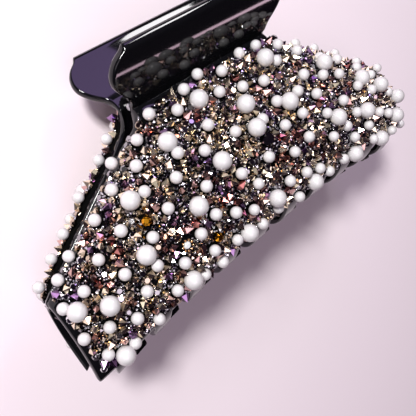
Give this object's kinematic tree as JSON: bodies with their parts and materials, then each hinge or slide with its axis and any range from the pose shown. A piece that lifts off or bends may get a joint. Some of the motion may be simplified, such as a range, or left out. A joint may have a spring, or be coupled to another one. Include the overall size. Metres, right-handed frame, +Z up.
{
  "type": "jaw claw hair clip",
  "caption": "Wide jaw claw hair clip of glossy black plastic, sprung shut, its domed jaws crusted with round pearls and small faceted stones.",
  "frame": {"origin": "centre of the footprint on the table, with the clip closed and lying on its back", "axes": "+X along the hinge pin, +Y from the teeth towards the handles, +Z up, square to the seam plane between the halves"},
  "size_m": [0.136, 0.0784, 0.0475],
  "materials": {
    "black_plastic": "high gloss black injection-moulded plastic",
    "stone_bed": "black glue layer packed with small dark stones",
    "pearl": "white imitation pearl, satin sheen",
    "pin_steel": "drawn steel rod",
    "spring_wire": "drawn spring wire",
    "gold_stone": "mirror-coated faceted stone, champagne to rose gold",
    "dark_stone": "mirror-backed faceted stone, smoke grey to brown",
    "metal_bead": "polished gunmetal micro bead"
  },
  "bodies": {
    "rear_half": {"rear_jaw": "black_plastic", "rear_stone_bed": "stone_bed", "hinge_pin": "pin_steel", "torsion_spring": "spring_wire", "rear_pearl_01": "pearl", "rear_pearl_02": "pearl", "rear_pearl_03": "pearl", "rear_pearl_04": "pearl", "rear_pearl_05": "pearl", "rear_pearl_06": "pearl", "rear_pearl_07": "pearl", "rear_pearl_08": "pearl", "rear_pearl_09": "pearl", "rear_pearl_10": "pearl", "rear_pearl_11": "pearl", "rear_pearl_12": "pearl", "rear_pearl_13": "pearl", "rear_pearl_14": "pearl", "rear_pearl_15": "pearl", "rear_pearl_16": "pearl", "rear_pearl_17": "pearl", "rear_pearl_18": "pearl", "rear_pearl_19": "pearl", "rear_pearl_20": "pearl", "rear_pearl_21": "pearl", "rear_pearl_22": "pearl", "rear_pearl_23": "pearl", "rear_pearl_24": "pearl", "rear_pearl_25": "pearl", "rear_pearl_26": "pearl"},
    "front_half": {"front_jaw": "black_plastic", "front_stone_bed": "stone_bed", "front_pearl_01": "pearl", "front_pearl_02": "pearl", "front_pearl_03": "pearl", "front_pearl_04": "pearl", "front_pearl_05": "pearl", "front_pearl_06": "pearl", "front_pearl_07": "pearl", "front_pearl_08": "pearl", "front_pearl_09": "pearl", "front_pearl_10": "pearl", "front_pearl_11": "pearl", "front_pearl_12": "pearl", "front_pearl_13": "pearl", "front_pearl_14": "pearl", "front_pearl_15": "pearl", "front_pearl_16": "pearl", "front_pearl_17": "pearl", "front_pearl_18": "pearl", "front_pearl_19": "pearl", "front_pearl_20": "pearl", "front_pearl_21": "pearl", "front_pearl_22": "pearl", "front_pearl_23": "pearl", "front_pearl_24": "pearl", "front_pearl_25": "pearl", "front_pearl_26": "pearl"}
  },
  "joints": [
    {"name": "jaw_hinge", "type": "hinge", "parent": "rear_half", "child": "front_half", "pos_m": [0, 0.02205, 0.02373], "axis": [-1, 0, 0], "range_deg": [0, 70], "stiffness_Nm_per_rad": 0.12, "springref_deg": -57.3, "deforming": ["torsion_spring"]}
  ]
}
